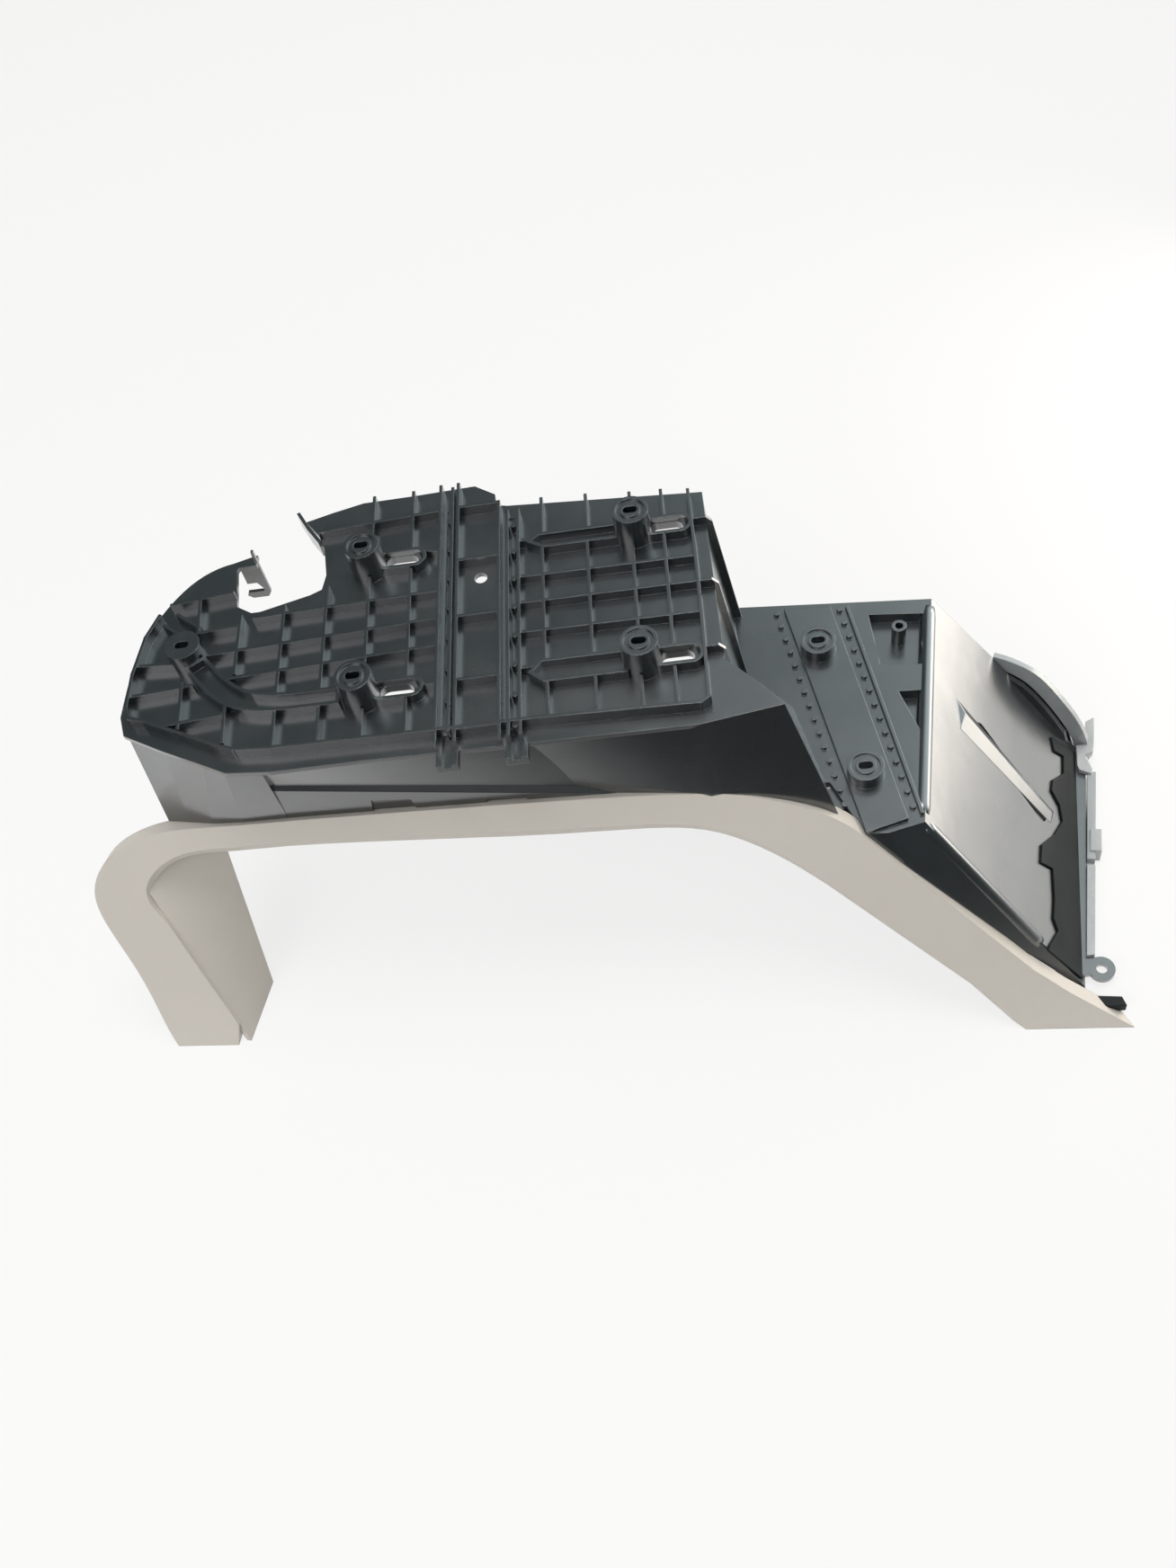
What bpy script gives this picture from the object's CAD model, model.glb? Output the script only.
"""Dresses the moulded carrier housing with its finishes, and sets its studio and camera."""

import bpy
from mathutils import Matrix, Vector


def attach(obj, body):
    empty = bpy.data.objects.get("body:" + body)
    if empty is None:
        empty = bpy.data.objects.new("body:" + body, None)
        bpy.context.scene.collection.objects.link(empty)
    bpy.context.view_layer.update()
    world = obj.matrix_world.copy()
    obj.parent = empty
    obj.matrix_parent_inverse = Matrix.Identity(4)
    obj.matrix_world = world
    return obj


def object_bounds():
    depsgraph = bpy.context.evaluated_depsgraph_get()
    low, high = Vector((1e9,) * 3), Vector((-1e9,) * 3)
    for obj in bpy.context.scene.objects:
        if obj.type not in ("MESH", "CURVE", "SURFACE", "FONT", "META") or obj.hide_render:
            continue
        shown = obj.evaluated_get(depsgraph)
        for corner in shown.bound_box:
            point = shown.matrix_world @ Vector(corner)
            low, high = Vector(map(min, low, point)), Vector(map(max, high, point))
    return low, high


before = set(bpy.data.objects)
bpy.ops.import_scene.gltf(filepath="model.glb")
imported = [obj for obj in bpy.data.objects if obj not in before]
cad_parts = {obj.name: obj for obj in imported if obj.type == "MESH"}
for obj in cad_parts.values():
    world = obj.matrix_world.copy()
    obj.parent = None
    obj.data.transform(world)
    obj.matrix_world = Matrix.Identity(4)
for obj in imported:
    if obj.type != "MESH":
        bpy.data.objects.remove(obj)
CAD_BOX = [list(corner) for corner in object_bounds()]

import logging
import math
from dataclasses import dataclass, field
from enum import Enum

import bmesh
import bpy
from mathutils import Matrix, Vector

LOG = logging.getLogger("housing")
MM = 0.001
DRAWING_SHIFT = (29.802, -2.4636)

# Places of the colour sockets on a Mix node.
MIX_FIRST = 6
MIX_SECOND = 7
MIX_RESULT = 2

Colour = tuple[float, float, float, float]
Point = tuple[float, float, float]
Node = bpy.types.Node
NodeTree = bpy.types.NodeTree
Socket = bpy.types.NodeSocket


def srgb(red: int, green: int, blue: int) -> Colour:
    """Turns a display colour into the linear colour that a shader takes.

    Args:
        red: Red from 0 to 255.
        green: Green from 0 to 255.
        blue: Blue from 0 to 255.

    Returns:
        The linear colour with an alpha of 1.
    """
    # The numbers are those of the display standard: a straight foot, then a power curve.
    linear = [
        level / 255 / 12.92 if level <= 10 else ((level / 255 + 0.055) / 1.055) ** 2.4
        for level in (red, green, blue)
    ]
    return (linear[0], linear[1], linear[2], 1.0)


def feed(tree: NodeTree, socket: Socket, value: object) -> None:
    """Gives a node's input what it takes.

    Args:
        tree: The node tree that holds the node.
        socket: The input.
        value: The socket to link it to, or the number or colour to set.
    """
    if isinstance(value, bpy.types.NodeSocket):
        tree.links.new(value, socket)
    else:
        socket.default_value = value


def add_math(tree: NodeTree, operation: str, *values: object, clamp: bool = False) -> Socket:
    """Adds a math node.

    Args:
        tree: The node tree to add to.
        operation: Blender's name for the operation.
        values: What its inputs take, in order: sockets or numbers.
        clamp: True to hold the result between 0 and 1.

    Returns:
        The result's socket.
    """
    node = tree.nodes.new("ShaderNodeMath")
    node.operation = operation
    node.use_clamp = clamp
    for socket, value in zip(node.inputs, values):
        feed(tree, socket, value)
    return node.outputs[0]


def add_range(
    tree: NodeTree,
    value: Socket,
    source: tuple[float, float],
    result: tuple[float, float],
    smooth: bool = False,
) -> Socket:
    """Adds a map from one range of values to another.

    Args:
        tree: The node tree to add to.
        value: The value to map.
        source: The lowest and highest value that count.
        result: What they turn into.
        smooth: True for a soft start and end.

    Returns:
        The mapped value's socket.
    """
    node = tree.nodes.new("ShaderNodeMapRange")
    if smooth:
        node.interpolation_type = "SMOOTHSTEP"
    names = ("From Min", "From Max", "To Min", "To Max")
    for name, number in zip(names, (*source, *result)):
        node.inputs[name].default_value = number
    tree.links.new(value, node.inputs["Value"])
    return node.outputs["Result"]


def mix_shaders(tree: NodeTree, share: Socket, first: Socket, second: Socket) -> Socket:
    """Mixes two shaders.

    Args:
        tree: The node tree to add to.
        share: How much of the second shows.
        first: The first shader.
        second: The second shader.

    Returns:
        The mixed shader's socket.
    """
    node = tree.nodes.new("ShaderNodeMixShader")
    for socket, source in zip(node.inputs, (share, first, second)):
        tree.links.new(source, socket)
    return node.outputs[0]


class Effect(Enum):
    """Shared shader effects, by the name of their node group."""

    GRAIN = "mould_grain"
    FLOW = "flow_marks"
    WEAR = "edge_polish"
    DUST = "settled_dust"


class EffectBook:
    """Builds each shared effect's node group once and hands it out.

    Its scales are per metre of the housing.
    """

    CELL_SMOOTHNESS: float = 0.6
    FINE_GRAIN_SCALE: float = 2600.0
    FINE_GRAIN_SHARE: float = 0.35
    FLOW_STRETCH: Point = (0.45, 1.0, 1.0)
    FLOW_SCALE: float = 14.0
    WAVE_SCALE: float = 34.0
    EDGE_CONTRAST: float = 9.0
    EDGE_BREAK_SCALE: float = 160.0
    DUST_SCALE: float = 60.0
    DUST_BARE_LEVEL: float = 0.42
    DUST_CONTRAST: float = 3.0

    def __init__(self) -> None:
        """Builds every group."""
        self.groups: dict[Effect, NodeTree] = {
            Effect.GRAIN: self._grain(),
            Effect.FLOW: self._flow(),
            Effect.WEAR: self._wear(),
            Effect.DUST: self._dust(),
        }

    def _start(
        self, effect: Effect, inputs: dict[str, float], outputs: tuple[str, ...]
    ) -> NodeTree:
        """Makes an empty group with its named sockets.

        Args:
            effect: The effect that names the group.
            inputs: Each input's name and starting value.
            outputs: The names of the outputs.

        Returns:
            The new node group.
        """
        group = bpy.data.node_groups.new(effect.value, "ShaderNodeTree")
        for name, value in inputs.items():
            socket = group.interface.new_socket(
                name, in_out="INPUT", socket_type="NodeSocketFloat"
            )
            socket.default_value = value
        for name in outputs:
            group.interface.new_socket(name, in_out="OUTPUT", socket_type="NodeSocketFloat")
        return group

    def _ends(self, group: NodeTree) -> tuple[Node, Node, Node]:
        """Adds a group's ends and its coordinates.

        Args:
            group: The group to add to.

        Returns:
            The input node, the output node and the coordinate node.
        """
        return (
            group.nodes.new("NodeGroupInput"),
            group.nodes.new("NodeGroupOutput"),
            group.nodes.new("ShaderNodeTexCoord"),
        )

    def _noise(self, group: NodeTree, vector: Socket, scale: float, detail: float) -> Socket:
        """Adds a noise texture.

        Args:
            group: The group to add to.
            vector: The coordinates that it follows.
            scale: Noise scale, per metre.
            detail: Noise detail.

        Returns:
            The noise's socket.
        """
        noise = group.nodes.new("ShaderNodeTexNoise")
        noise.inputs["Scale"].default_value = scale
        noise.inputs["Detail"].default_value = detail
        group.links.new(vector, noise.inputs["Vector"])
        return noise.outputs["Fac"]

    def _grain(self) -> NodeTree:
        """Builds the fine leather-like grain that a textured mould leaves."""
        group = self._start(Effect.GRAIN, {"Cell Scale": 900.0, "Depth": 1.0}, ("Height",))
        source, target, coords = self._ends(group)
        cells = group.nodes.new("ShaderNodeTexVoronoi")
        cells.feature = "SMOOTH_F1"
        cells.inputs["Smoothness"].default_value = self.CELL_SMOOTHNESS
        group.links.new(coords.outputs["Object"], cells.inputs["Vector"])
        group.links.new(source.outputs["Cell Scale"], cells.inputs["Scale"])
        fine = self._noise(group, coords.outputs["Object"], self.FINE_GRAIN_SCALE, detail=2.0)
        total = add_math(
            group, "MULTIPLY_ADD", fine, self.FINE_GRAIN_SHARE, cells.outputs["Distance"]
        )
        height = add_math(group, "MULTIPLY", total, source.outputs["Depth"])
        group.links.new(height, target.inputs["Height"])
        return group

    def _flow(self) -> NodeTree:
        """Builds the slow change of gloss, tone and height over a large moulding."""
        group = self._start(Effect.FLOW, {"Strength": 1.0}, ("Mask", "Height"))
        source, target, coords = self._ends(group)
        stretch = group.nodes.new("ShaderNodeMapping")
        stretch.inputs["Scale"].default_value = self.FLOW_STRETCH
        group.links.new(coords.outputs["Object"], stretch.inputs["Vector"])
        slow = self._noise(group, stretch.outputs["Vector"], self.FLOW_SCALE, detail=3.0)
        waves = self._noise(group, coords.outputs["Object"], self.WAVE_SCALE, detail=2.0)
        strength = source.outputs["Strength"]
        mask = add_math(group, "MULTIPLY", slow, strength, clamp=True)
        height = add_math(group, "MULTIPLY", waves, strength)
        group.links.new(mask, target.inputs["Mask"])
        group.links.new(height, target.inputs["Height"])
        return group

    def _wear(self) -> NodeTree:
        """Builds the mask of edges that handling has polished."""
        group = self._start(Effect.WEAR, {"Width": 0.53, "Amount": 0.6}, ("Mask",))
        source, target, coords = self._ends(group)
        edges = group.nodes.new("ShaderNodeNewGeometry")
        raised = add_math(
            group, "SUBTRACT", edges.outputs["Pointiness"], source.outputs["Width"]
        )
        sharp = add_math(group, "MULTIPLY", raised, self.EDGE_CONTRAST, clamp=True)
        broken = self._noise(group, coords.outputs["Object"], self.EDGE_BREAK_SCALE, detail=4.0)
        part = add_math(group, "MULTIPLY", sharp, broken)
        mask = add_math(group, "MULTIPLY", part, source.outputs["Amount"], clamp=True)
        group.links.new(mask, target.inputs["Mask"])
        return group

    def _dust(self) -> NodeTree:
        """Builds the thin dust that lies on faces that look up."""
        group = self._start(Effect.DUST, {"Amount": 0.3}, ("Mask",))
        source, target, coords = self._ends(group)
        facing = group.nodes.new("ShaderNodeSeparateXYZ")
        group.links.new(coords.outputs["Normal"], facing.inputs["Vector"])
        upward = add_math(group, "MULTIPLY", facing.outputs["Z"], 1.0, clamp=True)
        patches = self._noise(group, coords.outputs["Object"], self.DUST_SCALE, detail=6.0)
        specks = add_math(group, "SUBTRACT", patches, self.DUST_BARE_LEVEL)
        spread = add_math(group, "MULTIPLY", specks, self.DUST_CONTRAST, clamp=True)
        lying = add_math(group, "MULTIPLY", upward, spread)
        mask = add_math(group, "MULTIPLY", lying, source.outputs["Amount"], clamp=True)
        group.links.new(mask, target.inputs["Mask"])
        return group


@dataclass(frozen=True)
class MouldedPlastic:
    """A moulded plastic finish with grain, flow marks, polished edges and dust."""

    name: str
    colour: Colour
    worn_colour: Colour
    dust_colour: Colour
    roughness: float
    roughness_spread: float
    specular: float
    grain_scale: float
    grain_strength: float
    edge_radius: float
    wear: float
    dust: float
    wave: float
    index: float = 1.5
    coat: float = 0.0
    coat_roughness: float = 0.1
    coat_index: float = 1.5
    shade: float = 0.72
    flow_range: tuple[float, float] = (0.3, 0.7)
    dust_dulling: float = 0.3
    edge_samples: int = 4
    wave_height: float = 1.2 * MM
    grain_height: float = 0.12 * MM

    def material(self, effects: EffectBook) -> bpy.types.Material:
        """Finds the finish's material, or builds it the first time.

        Args:
            effects: The shared effects.

        Returns:
            The finished material.
        """
        return bpy.data.materials.get(self.name) or self._build(effects)

    def _build(self, effects: EffectBook) -> bpy.types.Material:
        """Builds the material.

        Args:
            effects: The shared effects.

        Returns:
            The finished material.
        """
        material = bpy.data.materials.new(self.name)
        material.use_nodes = True
        tree = material.node_tree
        shader = tree.nodes["Principled BSDF"]
        shader.inputs["Specular IOR Level"].default_value = self.specular
        shader.inputs["IOR"].default_value = self.index
        shader.inputs["Coat Weight"].default_value = self.coat
        shader.inputs["Coat Roughness"].default_value = self.coat_roughness
        shader.inputs["Coat IOR"].default_value = self.coat_index

        grain_values = {"Cell Scale": self.grain_scale, "Depth": 1.0}
        grain = self._add_effect(tree, effects, Effect.GRAIN, grain_values)
        flow = self._add_effect(tree, effects, Effect.FLOW, {"Strength": 1.0})
        wear = self._add_effect(tree, effects, Effect.WEAR, {"Amount": self.wear})
        dust = self._add_effect(tree, effects, Effect.DUST, {"Amount": self.dust})

        shaded = tuple(self.shade * c for c in self.colour[:3]) + (1.0,)
        tone = self._mix(tree, flow.outputs["Mask"], self.colour, shaded)
        worn = self._mix(tree, wear.outputs["Mask"], tone, self.worn_colour)
        dusty = self._mix(tree, dust.outputs["Mask"], worn, self.dust_colour)
        tree.links.new(dusty, shader.inputs["Base Color"])

        rough = (self.roughness - self.roughness_spread, self.roughness + self.roughness_spread)
        gloss = add_range(tree, flow.outputs["Mask"], self.flow_range, rough)
        dull = add_math(tree, "MULTIPLY_ADD", dust.outputs["Mask"], self.dust_dulling, gloss)
        tree.links.new(dull, shader.inputs["Roughness"])

        bevel = tree.nodes.new("ShaderNodeBevel")
        bevel.samples = self.edge_samples
        bevel.inputs["Radius"].default_value = self.edge_radius
        rounded = bevel.outputs["Normal"]
        waves = self._bump(tree, self.wave, self.wave_height, flow.outputs["Height"], rounded)
        bump = self._bump(
            tree, self.grain_strength, self.grain_height, grain.outputs["Height"], waves
        )
        tree.links.new(bump, shader.inputs["Normal"])
        return material

    def _add_effect(
        self, tree: NodeTree, effects: EffectBook, effect: Effect, values: dict[str, float]
    ) -> Node:
        """Places a shared effect in the material.

        Args:
            tree: The material's node tree.
            effects: The shared effects.
            effect: Which effect.
            values: The effect's own values here.

        Returns:
            The group node.
        """
        node = tree.nodes.new("ShaderNodeGroup")
        node.node_tree = effects.groups[effect]
        for name, value in values.items():
            node.inputs[name].default_value = value
        return node

    def _mix(self, tree: NodeTree, share: Socket, first: object, second: Colour) -> Socket:
        """Adds a colour mix.

        Args:
            tree: The material's node tree.
            share: How much of the second colour shows.
            first: The first colour, or the socket that gives it.
            second: The second colour.

        Returns:
            The mixed colour's socket.
        """
        node = tree.nodes.new("ShaderNodeMix")
        node.data_type = "RGBA"
        tree.links.new(share, node.inputs["Factor"])
        feed(tree, node.inputs[MIX_FIRST], first)
        feed(tree, node.inputs[MIX_SECOND], second)
        return node.outputs[MIX_RESULT]

    def _bump(
        self, tree: NodeTree, strength: float, distance: float, height: Socket, normal: Socket
    ) -> Socket:
        """Adds a bump on top of a normal.

        Args:
            tree: The material's node tree.
            strength: How strong the bump is.
            distance: How high it stands, in metres.
            height: The height's socket.
            normal: The normal that it starts from.

        Returns:
            The new normal's socket.
        """
        node = tree.nodes.new("ShaderNodeBump")
        node.inputs["Strength"].default_value = strength
        node.inputs["Distance"].default_value = distance
        tree.links.new(height, node.inputs["Height"])
        tree.links.new(normal, node.inputs["Normal"])
        return node.outputs["Normal"]


BLACK_PLASTIC = MouldedPlastic(
    name="black_moulded_plastic",
    colour=srgb(23, 31, 34),
    worn_colour=srgb(120, 130, 132),
    dust_colour=srgb(120, 124, 122),
    roughness=0.27,
    roughness_spread=0.08,
    specular=1.0,
    grain_scale=1400.0,
    grain_strength=0.06,
    edge_radius=0.6 * MM,
    wear=0.12,
    dust=0.05,
    wave=0.3,
    index=1.62,
    coat=1.0,
    coat_roughness=0.24,
    coat_index=1.75,
)

MATT_BLACK = MouldedPlastic(
    name="matt_black_plastic",
    colour=srgb(14, 18, 20),
    worn_colour=srgb(80, 88, 90),
    dust_colour=srgb(90, 94, 94),
    roughness=0.6,
    roughness_spread=0.06,
    specular=0.25,
    grain_scale=1400.0,
    grain_strength=0.1,
    edge_radius=0.5 * MM,
    wear=0.5,
    dust=0.03,
    wave=0.2,
)

LIGHT_PLASTIC = MouldedPlastic(
    name="light_grained_plastic",
    colour=srgb(216, 210, 201),
    worn_colour=srgb(226, 222, 214),
    dust_colour=srgb(214, 210, 202),
    roughness=0.5,
    roughness_spread=0.05,
    specular=0.4,
    grain_scale=1100.0,
    grain_strength=0.3,
    edge_radius=0.8 * MM,
    wear=0.3,
    dust=0.08,
    wave=0.12,
    shade=0.9,
)

GREY_PLASTIC = MouldedPlastic(
    name="grey_moulded_plastic",
    colour=srgb(170, 175, 176),
    worn_colour=srgb(205, 209, 210),
    dust_colour=srgb(150, 154, 154),
    roughness=0.3,
    roughness_spread=0.06,
    specular=0.8,
    grain_scale=1300.0,
    grain_strength=0.1,
    edge_radius=0.7 * MM,
    wear=0.6,
    dust=0.05,
    wave=0.2,
    coat=0.5,
)


@dataclass
class Moulding:
    """One moulded piece of the housing, as the frame holds it."""

    node: str
    finish: MouldedPlastic

    def dress(self, effects: EffectBook) -> None:
        """Gives the piece its finish.

        Args:
            effects: The shared effects.
        """
        material = self.finish.material(effects)
        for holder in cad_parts[self.node].material_slots:
            holder.material = material
        LOG.info("%s wears %s", self.node, material.name)


def place(x: float, y: float, z: float) -> Vector:
    """Turns a point of the part's drawing into one of the frame.

    Args:
        x: Millimetres along the housing, to the right.
        y: Millimetres to the back.
        z: Millimetres above the ground.

    Returns:
        The point in metres.
    """
    return Vector((x + DRAWING_SHIFT[0], y + DRAWING_SHIFT[1], z)) * MM


def add_piece(
    name: str,
    points: list[Vector],
    faces: list[tuple[int, ...]],
    finish: MouldedPlastic,
    effects: EffectBook,
    bevel: float = 0.0,
) -> None:
    """Makes a closed piece that rides on the housing.

    Args:
        name: The piece's name.
        points: Its corners, in metres.
        faces: Its faces, by corner.
        finish: Its finish.
        effects: The shared effects.
        bevel: Width of its broken edges in metres, or 0 for a smooth round piece.
    """
    mesh = bpy.data.meshes.new(name)
    mesh.from_pydata(points, [], faces)
    work = bmesh.new()
    work.from_mesh(mesh)
    bmesh.ops.recalc_face_normals(work, faces=work.faces)
    if bevel > 0:
        bmesh.ops.bevel(
            work, geom=work.edges[:], offset=bevel, segments=2, affect="EDGES", profile=0.5
        )
    for face in work.faces:
        face.smooth = bevel == 0.0
    work.to_mesh(mesh)
    work.free()
    piece = bpy.data.objects.new(name, mesh)
    bpy.context.scene.collection.objects.link(piece)
    mesh.materials.append(finish.material(effects))
    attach(piece, "root")
    LOG.info("%s added", name)


@dataclass
class Plate:
    """A flat piece with an outline and a thickness, in millimetres."""

    name: str
    outline: list[Point]
    thickness: Point
    finish: MouldedPlastic
    bevel: float = 0.3 * MM

    def build(self, effects: EffectBook) -> None:
        """Builds the plate.

        Args:
            effects: The shared effects.
        """
        rise = Vector(self.thickness) * MM
        lower = [place(*point) for point in self.outline]
        upper = [point + rise for point in lower]
        count = len(lower)
        faces = [tuple(range(count)), tuple(range(2 * count - 1, count - 1, -1))]
        for i in range(count):
            after = (i + 1) % count
            faces.append((i, after, after + count, i + count))
        add_piece(self.name, lower + upper, faces, self.finish, effects, self.bevel)


@dataclass
class EdgeRoll:
    """A rounded edge between two faces of the carrier, thinner towards its ends."""

    name: str
    start: Point
    end: Point
    inward: Point
    radius: float = 4.0
    sides: int = 24
    stations: tuple[tuple[float, float], ...] = (
        (0.0, 0.0),
        (0.02, 0.9),
        (0.06, 1.0),
        (0.94, 1.0),
        (0.98, 0.9),
        (1.0, 0.0),
    )
    least_swell: float = 0.02

    def build(self, effects: EffectBook) -> None:
        """Builds the rolled edge.

        Args:
            effects: The shared effects.
        """
        start, end, inward = place(*self.start), place(*self.end), Vector(self.inward) * MM
        along = (end - start).normalized()
        across = along.orthogonal().normalized()
        other = along.cross(across)
        points: list[Vector] = []
        for share, swell in self.stations:
            centre = start.lerp(end, share) + inward
            reach = self.radius * MM * max(swell, self.least_swell)
            for i in range(self.sides):
                turn = math.tau * i / self.sides
                points.append(centre + (across * math.cos(turn) + other * math.sin(turn)) * reach)
        faces: list[tuple[int, ...]] = []
        for row in range(len(self.stations) - 1):
            low, high = row * self.sides, (row + 1) * self.sides
            for i in range(self.sides):
                after = (i + 1) % self.sides
                faces.append((low + i, low + after, high + after, high + i))
        faces.append(tuple(range(self.sides)))
        last = (len(self.stations) - 1) * self.sides
        faces.append(tuple(range(last, last + self.sides)))
        add_piece(self.name, points, faces, BLACK_PLASTIC, effects)


ROOF_TILT = (0.7745, -0.1373, 0.6175)


@dataclass
class RoofBead:
    """The tapering raised bead that runs down the sloped roof."""

    left_high: Point = (148.8, 25.1, 91.0)
    left_low: Point = (148.2, 7.4, 87.7)
    right_high: Point = (197.0, -6.6, 23.4)
    right_low: Point = (193.4, -15.2, 26.0)
    normal: Point = ROOF_TILT
    rise: float = 2.6
    right_rise_share: float = 0.6
    sink: float = 2.0
    crest: float = 0.42
    left_inset: float = 0.035
    right_inset: float = 0.03
    bevel: float = 0.5 * MM

    def build(self, effects: EffectBook) -> None:
        """Builds the bead.

        Args:
            effects: The shared effects.
        """
        up = Vector(self.normal).normalized() * MM
        corners = (self.left_high, self.left_low, self.right_low, self.right_high)
        base = [place(*corner) for corner in corners]
        crest_left = base[0].lerp(base[1], self.crest) + up * self.rise
        crest_right = base[3].lerp(base[2], self.crest) + up * self.rise * self.right_rise_share
        crest_left = crest_left.lerp(crest_right, self.left_inset)
        crest_right = crest_right.lerp(crest_left, self.right_inset)
        points = base + [crest_left, crest_right] + [corner - up * self.sink for corner in base]
        faces = [
            (0, 4, 5, 3), (4, 1, 2, 5), (0, 1, 4), (3, 5, 2),
            (0, 6, 7, 1), (1, 7, 8, 2), (2, 8, 9, 3), (3, 9, 6, 0), (6, 9, 8, 7),
        ]
        add_piece("roof_bead", points, faces, BLACK_PLASTIC, effects, self.bevel)


def level_outline(height: float, corners: tuple[tuple[float, float], ...]) -> list[Point]:
    """Lays an outline flat.

    Args:
        height: Its height above the ground, in millimetres.
        corners: Its corners, seen from above.

    Returns:
        The outline's points.
    """
    return [(x, y, height) for x, y in corners]


GASKET_THICKNESS = 1.3
ROOF_GASKET = Plate(
    name="roof_gasket",
    outline=[
        (203.5, 39.2, 25.4), (203.8, 31.2, 23.3), (209.2, 31.6, 16.6), (207.0, 20.5, 16.9),
        (198.9, 11.9, 25.1), (197.0, 4.8, 26.0), (200.4, -1.6, 20.3), (200.3, -10.0, 18.6),
        (193.4, -21.3, 24.7), (184.2, -31.9, 33.9), (181.6, -42.7, 34.7), (188.2, -42.4, 26.6),
        (185.9, -59.0, 25.8), (183.1, -70.6, 26.7), (184.4, -76.3, 23.7), (177.9, -86.7, 29.6),
        (176.4, -90.0, 30.7), (193.9, -95.6, 7.5), (217.8, 39.2, 7.5),
    ],
    thickness=tuple(GASKET_THICKNESS * c for c in ROOF_TILT),
    finish=MATT_BLACK,
)

ARCH_CORNER = (176.0, 66.5)
ARCH_RUN = (0.8944, -0.4472)
ARCH_INTO_WALL = (0.4472, 0.8944)
LINING_GAP = 0.3
LINING_THICKNESS = 2.0
ARCH_LINING = Plate(
    name="arch_lining",
    outline=[
        (
            ARCH_CORNER[0] + ARCH_RUN[0] * along + ARCH_INTO_WALL[0] * LINING_GAP,
            ARCH_CORNER[1] + ARCH_RUN[1] * along + ARCH_INTO_WALL[1] * LINING_GAP,
            height,
        )
        for along, height in (
            (0.0, 4.0), (0.0, 56.6), (10.0, 55.1), (18.0, 51.1), (25.0, 44.6), (32.0, 36.1),
            (38.0, 27.6), (42.9, 19.6), (47.6, 4.0),
        )
    ],
    thickness=tuple(LINING_THICKNESS * c for c in (*ARCH_INTO_WALL, 0.0)),
    finish=MATT_BLACK,
)

DECK_FOOT = Plate(
    name="deck_foot",
    outline=level_outline(
        102.3,
        (
            (75.0, -23.0), (84.0, -22.5), (90.0, -36.0),
            (93.5, -44.0), (93.0, -50.5), (80.8, -48.0),
        ),
    ),
    thickness=(0.0, 0.0, 3.1),
    finish=BLACK_PLASTIC,
)

TIP_SHELF = Plate(
    name="tip_shelf",
    outline=level_outline(
        1.0,
        (
            (190.0, -103.5), (211.8, -106.5), (213.2, -111.8),
            (204.0, -111.5), (196.0, -108.0),
        ),
    ),
    thickness=(0.0, 0.0, 6.0),
    finish=MATT_BLACK,
    bevel=0.6 * MM,
)

RIDGE_ROLL = EdgeRoll(
    name="ridge_roll",
    start=(143.9, 74.4, 108.0),
    end=(121.2, -54.0, 108.0),
    inward=(-1.55, 0.28, -3.4),
)

DUCT_ROLL = EdgeRoll(
    name="duct_roll",
    start=(121.6, -57.0, 106.6),
    end=(176.1, -87.5, 31.7),
    inward=(-2.04, 2.1, -2.33),
)


@dataclass
class Housing:
    """The whole housing: ribbed carrier, arched trim and end rim, with the small pieces on it."""

    carrier: Moulding = field(default_factory=lambda: Moulding("carrier", BLACK_PLASTIC))
    trim: Moulding = field(default_factory=lambda: Moulding("trim", LIGHT_PLASTIC))
    rim: Moulding = field(default_factory=lambda: Moulding("rim", GREY_PLASTIC))
    plates: tuple[Plate, ...] = (ROOF_GASKET, ARCH_LINING, DECK_FOOT, TIP_SHELF)
    rolls: tuple[EdgeRoll, ...] = (RIDGE_ROLL, DUCT_ROLL)
    bead: RoofBead = field(default_factory=RoofBead)

    def build(self, effects: EffectBook) -> None:
        """Dresses each moulding and adds the small pieces.

        Args:
            effects: The shared effects.
        """
        for moulding in (self.carrier, self.trim, self.rim):
            moulding.dress(effects)
        for detail in (*self.plates, *self.rolls, self.bead):
            detail.build(effects)


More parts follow.
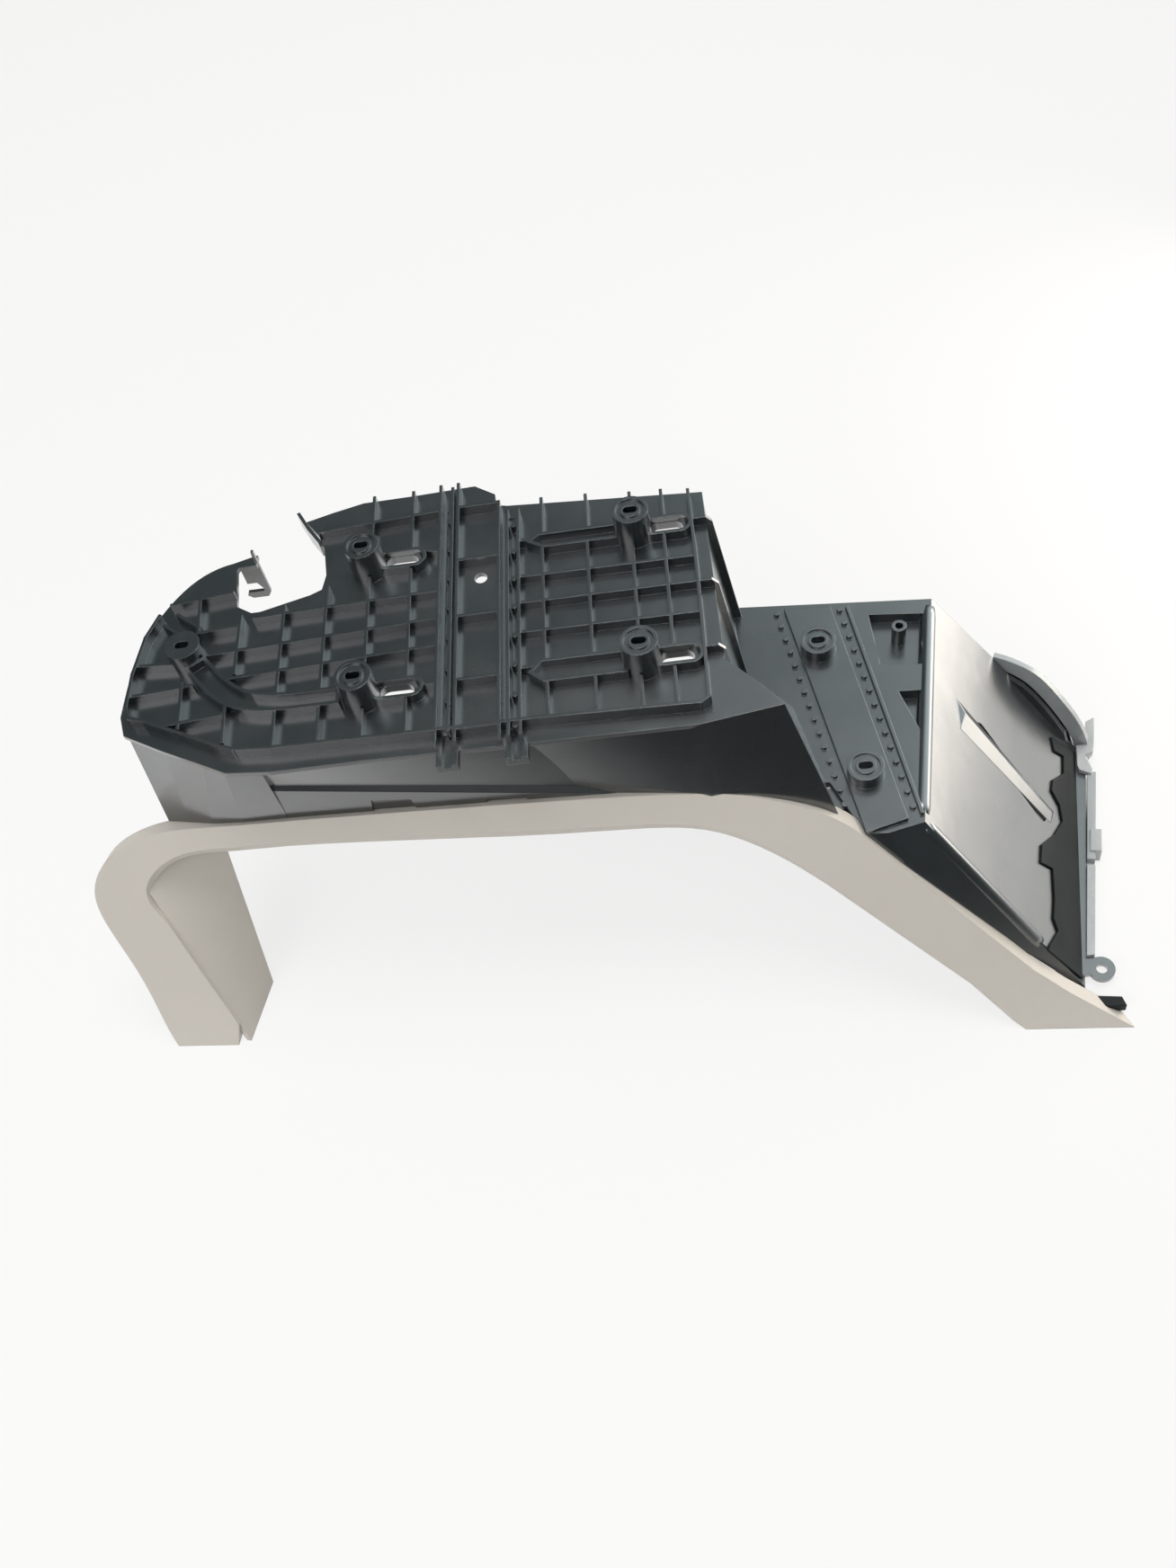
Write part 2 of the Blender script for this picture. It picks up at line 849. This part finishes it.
@dataclass(frozen=True)
class PaleBoard:
    """The white board that the housing stands on.

    Glossy surfaces see it as plain white, fading to front_level in front of the housing.
    """

    name: str = "pale_board"
    colour: Colour = srgb(232, 231, 229)
    roughness: float = 0.8
    specular: float = 0.2
    seen_white: float = 0.78
    mirrored_white: float = 1.0
    front_dark: float = -0.22
    front_pale: float = -0.02
    front_level: float = 0.06
    back_level: float = 1.0
    side_share: float = 0.35

    def build(self) -> bpy.types.Material:
        """Builds the board's material.

        Returns:
            The material.
        """
        material = bpy.data.materials.new(self.name)
        material.use_nodes = True
        tree = material.node_tree
        nodes, links = tree.nodes, tree.links
        shader = nodes["Principled BSDF"]
        shader.inputs["Base Color"].default_value = self.colour
        shader.inputs["Roughness"].default_value = self.roughness
        shader.inputs["Specular IOR Level"].default_value = self.specular

        path = nodes.new("ShaderNodeLightPath")
        camera_ray, glossy_ray = path.outputs["Is Camera Ray"], path.outputs["Is Glossy Ray"]
        coords = nodes.new("ShaderNodeTexCoord")
        split = nodes.new("ShaderNodeSeparateXYZ")
        links.new(coords.outputs["Object"], split.inputs[0])
        outward = add_math(tree, "ABSOLUTE", split.outputs["X"])
        spread = add_math(tree, "MULTIPLY_ADD", outward, self.side_share, split.outputs["Y"])
        fade = add_range(
            tree,
            spread,
            (self.front_dark, self.front_pale),
            (self.front_level, self.back_level),
            smooth=True,
        )
        level = add_math(tree, "MAXIMUM", fade, camera_ray)
        white = nodes.new("ShaderNodeEmission")
        links.new(level, white.inputs["Strength"])

        seen = add_math(tree, "MULTIPLY", camera_ray, self.seen_white)
        share = add_math(tree, "MULTIPLY_ADD", glossy_ray, self.mirrored_white, seen)
        mixed = mix_shaders(tree, share, shader.outputs[0], white.outputs[0])
        links.new(mixed, nodes["Material Output"].inputs["Surface"])
        return material


@dataclass(frozen=True)
class SoftLamp:
    """A soft rectangular lamp that the camera doesn't see, in metres and watts."""

    name: str
    spot: Point
    aim: Point
    size: tuple[float, float]
    power: float
    tint: Point = (1.0, 1.0, 1.0)

    def hang(self) -> None:
        """Hangs the lamp and turns it towards its aim."""
        data = bpy.data.lights.new(self.name, "AREA")
        data.shape = "RECTANGLE"
        data.size, data.size_y = self.size
        data.energy = self.power
        data.color = self.tint
        lamp = bpy.data.objects.new(self.name, data)
        lamp.location = self.spot
        facing = Vector(self.aim) - Vector(self.spot)
        lamp.rotation_euler = facing.to_track_quat("-Z", "Y").to_euler()
        lamp.visible_camera = False
        bpy.context.scene.collection.objects.link(lamp)


@dataclass
class Studio:
    """The floor, the soft lamps, the pale surroundings and the camera."""

    floor_half: float = 3.0
    camera_place: Point = (0.0742391, -0.4515435, 0.7391021)
    camera_right: Point = (0.98821066, -0.03353673, -0.14938199)
    camera_up: Point = (0.11176241, 0.82487465, 0.5541579)
    camera_look: Point = (-0.10463677, 0.56432003, -0.81889807)
    focal_pixels: float = 1750.0
    image_height: float = 1744.0
    sensor: float = 36.0
    nearest: float = 0.01
    surroundings: float = 0.34
    lit_colour: Colour = (1.0, 0.99, 0.97, 1.0)
    seen_colour: Colour = (1.0, 1.0, 1.0, 1.0)
    mirrored_colour: Colour = (0.84, 0.98, 1.0, 1.0)
    bright_side: Point = (0.72, 0.5, 0.48)
    bright_range: tuple[float, float] = (0.58, 0.99)
    mirrored_dark: float = 0.12
    mirrored_bright: float = 1.9
    lamps: tuple[SoftLamp, ...] = (
        SoftLamp("key_light", (-0.9, -1.0, 1.3), (0.0, 0.0, 0.08), (1.2, 1.0), 10.0),
        SoftLamp("top_fill", (0.1, 0.2, 2.2), (0.0, 0.0, 0.1), (1.0, 1.0), 22.0),
        SoftLamp(
            "side_card",
            (0.56, 0.2, 0.12),
            (0.16, 0.0, 0.09),
            (0.5, 0.28),
            1.75,
            tint=(1.0, 0.93, 0.83),
        ),
    )

    def build(self) -> None:
        """Builds the whole studio."""
        self._floor()
        self._world()
        for lamp in self.lamps:
            lamp.hang()
        self._camera()

    def _floor(self) -> None:
        """Lays the board under the housing's lowest point."""
        ground = CAD_BOX[0][2]
        half = self.floor_half
        mesh = bpy.data.meshes.new("floor")
        corners = [
            (-half, -half, ground),
            (half, -half, ground),
            (half, half, ground),
            (-half, half, ground),
        ]
        mesh.from_pydata(corners, [], [(0, 1, 2, 3)])
        floor = bpy.data.objects.new("floor", mesh)
        bpy.context.scene.collection.objects.link(floor)
        mesh.materials.append(PaleBoard().build())

    def _world(self) -> None:
        """Surrounds the housing with pale light: even on it, white to the camera.

        Glossy surfaces see it dark all round and bright towards bright_side.
        """
        world = bpy.data.worlds.new("pale_surroundings")
        world.use_nodes = True
        bpy.context.scene.world = world
        tree = world.node_tree
        nodes, links = tree.nodes, tree.links
        nodes.clear()
        output = nodes.new("ShaderNodeOutputWorld")
        path = nodes.new("ShaderNodeLightPath")
        lit = self._background(tree, self.lit_colour, self.surroundings)
        seen = self._background(tree, self.seen_colour, 1.0)
        mirrored = self._background(tree, self.mirrored_colour, 1.0)

        coords = nodes.new("ShaderNodeTexCoord")
        towards = nodes.new("ShaderNodeVectorMath")
        towards.operation = "DOT_PRODUCT"
        towards.inputs[1].default_value = Vector(self.bright_side).normalized()
        links.new(coords.outputs["Generated"], towards.inputs[0])
        fade = add_range(
            tree,
            towards.outputs["Value"],
            self.bright_range,
            (self.mirrored_dark, self.mirrored_bright),
            smooth=True,
        )
        links.new(fade, mirrored.inputs["Strength"])

        gloss = mix_shaders(
            tree, path.outputs["Is Glossy Ray"], lit.outputs[0], mirrored.outputs[0]
        )
        mixed = mix_shaders(tree, path.outputs["Is Camera Ray"], gloss, seen.outputs[0])
        links.new(mixed, output.inputs["Surface"])

    def _background(self, tree: NodeTree, colour: Colour, strength: float) -> Node:
        """Adds a background shader.

        Args:
            tree: The world's node tree.
            colour: Its colour.
            strength: Its strength.

        Returns:
            The background node.
        """
        node = tree.nodes.new("ShaderNodeBackground")
        node.inputs["Color"].default_value = colour
        node.inputs["Strength"].default_value = strength
        return node

    def _camera(self) -> None:
        """Sets the camera at its measured place and turn."""
        data = bpy.data.cameras.new("camera")
        data.sensor_width = self.sensor
        data.lens = self.sensor * self.focal_pixels / self.image_height
        data.clip_start = self.nearest
        camera = bpy.data.objects.new("camera", data)
        backward = [-c for c in self.camera_look]
        turn = Matrix((self.camera_right, self.camera_up, backward)).transposed()
        camera.matrix_world = Matrix.Translation(self.camera_place) @ turn.to_4x4()
        bpy.context.scene.collection.objects.link(camera)
        bpy.context.scene.camera = camera


def main() -> None:
    """Builds the housing's looks and its studio."""
    logging.basicConfig(level=logging.INFO, format="%(name)s: %(message)s")
    bpy.context.scene.view_settings.view_transform = "Standard"
    effects = EffectBook()
    Housing().build(effects)
    Studio().build()
    LOG.info("sizes written")


if __name__ == "__main__":
    main()
